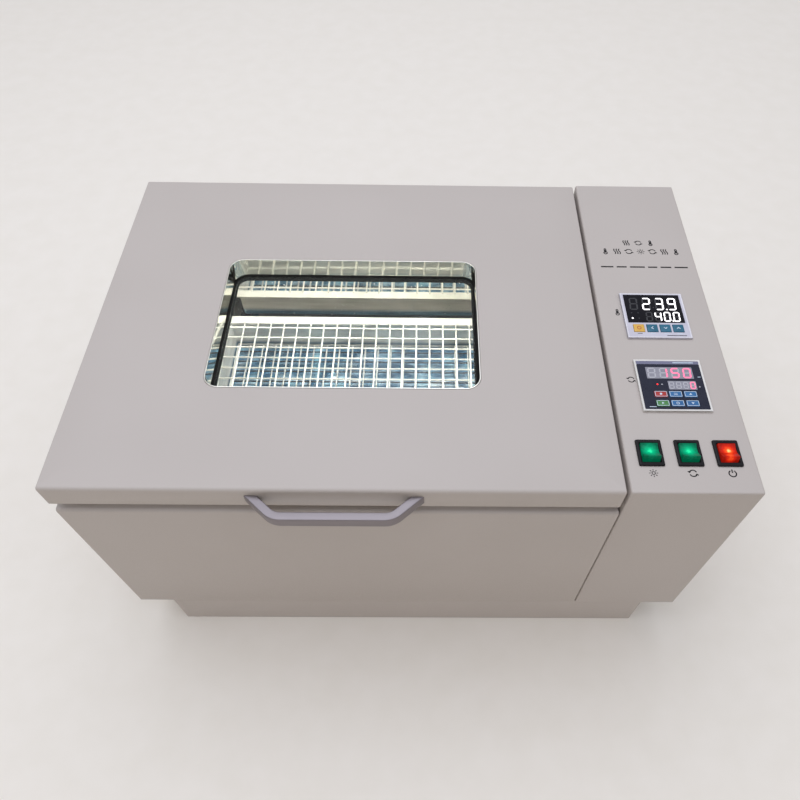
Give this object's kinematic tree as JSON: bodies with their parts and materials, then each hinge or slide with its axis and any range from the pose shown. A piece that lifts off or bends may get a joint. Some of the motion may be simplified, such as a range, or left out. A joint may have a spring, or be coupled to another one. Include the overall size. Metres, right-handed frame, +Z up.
{
  "type": "air bath shaker",
  "caption": "Benchtop air-bath orbital shaker: heated steel chamber under a windowed hinged lid, orbiting wire-grid flask tray, side control column with rocker switches.",
  "frame": {"origin": "middle of the underside of the base plate, on the bench", "axes": "+X towards the control column, +Y towards the hinged back, +Z up"},
  "size_m": [0.694, 0.5104, 0.349],
  "materials": {
    "cabinet_paint": "fine textured powder coat, warm light grey",
    "stainless_steel": "brushed stainless sheet and bright wire",
    "zinc_plate": "zinc-plated steel",
    "anodised_aluminium": "satin anodised",
    "cast_aluminium": "as cast",
    "window_glass": "clear toughened glass",
    "black_rubber": "matt black rubber",
    "seal_silicone": "pale silicone rubber",
    "insulation_wool": "loose mineral wool",
    "black_plastic": "black moulded plastic",
    "silver_plastic": "silver moulded plastic",
    "white_plastic": "white moulded plastic",
    "display_window": "smoked display window",
    "grey_display": "grey display window",
    "key_yellow": "yellow key",
    "key_teal": "dark teal key",
    "key_red": "red key",
    "key_green": "green key",
    "key_blue": "blue key",
    "rocker_green": "translucent green, lit from inside",
    "rocker_red": "translucent red, lit from inside",
    "lamp_glass": "frosted lamp glass"
  },
  "bodies": {
    "cabinet": {"plinth": "cabinet_paint", "cabinet_shell": "cabinet_paint", "control_column": "cabinet_paint", "rear_cover": "cabinet_paint", "chamber_liner": "stainless_steel", "temperature_probe": "stainless_steel", "base_plate": "zinc_plate", "air_duct": "zinc_plate", "heater": "zinc_plate", "cabinet_hinge_leaf_left": "zinc_plate", "cabinet_hinge_leaf_right": "zinc_plate", "hinge_pin_left": "zinc_plate", "hinge_pin_right": "zinc_plate", "drive_chassis": "cast_aluminium", "fan_motor": "cast_aluminium", "drive_belt": "black_rubber", "chamber_seal": "seal_silicone", "insulation_jacket": "insulation_wool", "drive_motor": "black_plastic", "power_inlet": "black_plastic", "rocker_frame_light": "black_plastic", "rocker_frame_shake": "black_plastic", "rocker_frame_power": "black_plastic", "temp_controller": "silver_plastic", "speed_controller": "white_plastic", "temp_display": "display_window", "speed_display": "grey_display", "chamber_lamp": "lamp_glass"},
    "lid": {"lid_shell": "cabinet_paint", "lid_liner": "stainless_steel", "window_reveal": "stainless_steel", "window_gasket": "black_rubber", "window_glass": "window_glass", "lid_handle": "anodised_aluminium", "lid_hinge_leaf_left": "zinc_plate", "lid_hinge_leaf_right": "zinc_plate"},
    "crank": {"crank_wheel": "zinc_plate"},
    "platform": {"shaker_platform": "cast_aluminium", "flask_tray": "stainless_steel", "upper_grid": "stainless_steel", "lower_grid": "stainless_steel"},
    "idler_1": {"idler_crank_1": "zinc_plate"},
    "idler_2": {"idler_crank_2": "zinc_plate"},
    "idler_3": {"idler_crank_3": "zinc_plate"},
    "idler_4": {"idler_crank_4": "zinc_plate"},
    "motor_rotor": {"motor_pulley": "zinc_plate"},
    "fan": {"fan_wheel": "anodised_aluminium"},
    "rocker_light_body": {"rocker_light": "rocker_green"},
    "rocker_shake_body": {"rocker_shake": "rocker_green"},
    "rocker_power_body": {"rocker_power": "rocker_red"},
    "temp_key_set_body": {"temp_key_set": "key_yellow"},
    "temp_key_shift_body": {"temp_key_shift": "key_teal"},
    "temp_key_down_body": {"temp_key_down": "key_teal"},
    "temp_key_up_body": {"temp_key_up": "key_teal"},
    "speed_key_stop_body": {"speed_key_stop": "key_red"},
    "speed_key_mode_body": {"speed_key_mode": "key_blue"},
    "speed_key_raise_body": {"speed_key_raise": "key_blue"},
    "speed_key_run_body": {"speed_key_run": "key_green"},
    "speed_key_timer_body": {"speed_key_timer": "key_blue"},
    "speed_key_lower_body": {"speed_key_lower": "key_blue"}
  },
  "joints": [
    {"name": "lid_hinge", "type": "hinge", "parent": "cabinet", "child": "lid", "pos_m": [0, 0.2421, 0.308], "axis": [-1, 0, 0], "range_deg": [0, 100]},
    {"name": "crank_spin", "type": "hinge", "parent": "cabinet", "child": "crank", "pos_m": [-0.067, 0, 0.084], "axis": [0, 0, 1], "continuous": true},
    {"name": "platform_pivot", "type": "hinge", "parent": "crank", "child": "platform", "pos_m": [-0.07407, 0.00707, 0.092], "axis": [0, 0, 1], "continuous": true},
    {"name": "idler_1_spin", "type": "hinge", "parent": "cabinet", "child": "idler_1", "pos_m": [-0.217, -0.115, 0.084], "axis": [0, 0, 1], "continuous": true},
    {"name": "idler_2_spin", "type": "hinge", "parent": "cabinet", "child": "idler_2", "pos_m": [0.083, -0.115, 0.084], "axis": [0, 0, 1], "continuous": true},
    {"name": "idler_3_spin", "type": "hinge", "parent": "cabinet", "child": "idler_3", "pos_m": [-0.217, 0.115, 0.084], "axis": [0, 0, 1], "continuous": true},
    {"name": "idler_4_spin", "type": "hinge", "parent": "cabinet", "child": "idler_4", "pos_m": [0.083, 0.115, 0.084], "axis": [0, 0, 1], "continuous": true},
    {"name": "motor_spin", "type": "hinge", "parent": "cabinet", "child": "motor_rotor", "pos_m": [0.27, 0.06, 0.066], "axis": [0, 0, 1], "continuous": true},
    {"name": "fan_spin", "type": "hinge", "parent": "cabinet", "child": "fan", "pos_m": [0.2, 0, 0.215], "axis": [1, 0, 0], "continuous": true},
    {"name": "rocker_light", "type": "hinge", "parent": "cabinet", "child": "rocker_light_body", "pos_m": [0.2428, -0.1919, 0.341], "axis": [1, 0, 0], "range_deg": [0, 20]},
    {"name": "rocker_shake", "type": "hinge", "parent": "cabinet", "child": "rocker_shake_body", "pos_m": [0.2814, -0.1919, 0.341], "axis": [1, 0, 0], "range_deg": [0, 20]},
    {"name": "rocker_power", "type": "hinge", "parent": "cabinet", "child": "rocker_power_body", "pos_m": [0.32, -0.1919, 0.341], "axis": [1, 0, 0], "range_deg": [0, 20]},
    {"name": "temp_key_set", "type": "slide", "parent": "cabinet", "child": "temp_key_set_body", "axis": [0, 0, -1], "range_m": [0, 0.0006], "stiffness_N_per_m": 2000},
    {"name": "temp_key_shift", "type": "slide", "parent": "cabinet", "child": "temp_key_shift_body", "axis": [0, 0, -1], "range_m": [0, 0.0006], "stiffness_N_per_m": 2000},
    {"name": "temp_key_down", "type": "slide", "parent": "cabinet", "child": "temp_key_down_body", "axis": [0, 0, -1], "range_m": [0, 0.0006], "stiffness_N_per_m": 2000},
    {"name": "temp_key_up", "type": "slide", "parent": "cabinet", "child": "temp_key_up_body", "axis": [0, 0, -1], "range_m": [0, 0.0006], "stiffness_N_per_m": 2000},
    {"name": "speed_key_stop", "type": "slide", "parent": "cabinet", "child": "speed_key_stop_body", "axis": [0, 0, -1], "range_m": [0, 0.0006], "stiffness_N_per_m": 2000},
    {"name": "speed_key_mode", "type": "slide", "parent": "cabinet", "child": "speed_key_mode_body", "axis": [0, 0, -1], "range_m": [0, 0.0006], "stiffness_N_per_m": 2000},
    {"name": "speed_key_raise", "type": "slide", "parent": "cabinet", "child": "speed_key_raise_body", "axis": [0, 0, -1], "range_m": [0, 0.0006], "stiffness_N_per_m": 2000},
    {"name": "speed_key_run", "type": "slide", "parent": "cabinet", "child": "speed_key_run_body", "axis": [0, 0, -1], "range_m": [0, 0.0006], "stiffness_N_per_m": 2000},
    {"name": "speed_key_timer", "type": "slide", "parent": "cabinet", "child": "speed_key_timer_body", "axis": [0, 0, -1], "range_m": [0, 0.0006], "stiffness_N_per_m": 2000},
    {"name": "speed_key_lower", "type": "slide", "parent": "cabinet", "child": "speed_key_lower_body", "axis": [0, 0, -1], "range_m": [0, 0.0006], "stiffness_N_per_m": 2000}
  ],
  "couplings": [
    {"joint": "platform_pivot", "follows": "crank_spin", "ratio": -1},
    {"joint": "idler_1_spin", "follows": "crank_spin", "ratio": 1},
    {"joint": "idler_2_spin", "follows": "crank_spin", "ratio": 1},
    {"joint": "idler_3_spin", "follows": "crank_spin", "ratio": 1},
    {"joint": "idler_4_spin", "follows": "crank_spin", "ratio": 1},
    {"joint": "motor_spin", "follows": "crank_spin", "ratio": 3.25}
  ]
}
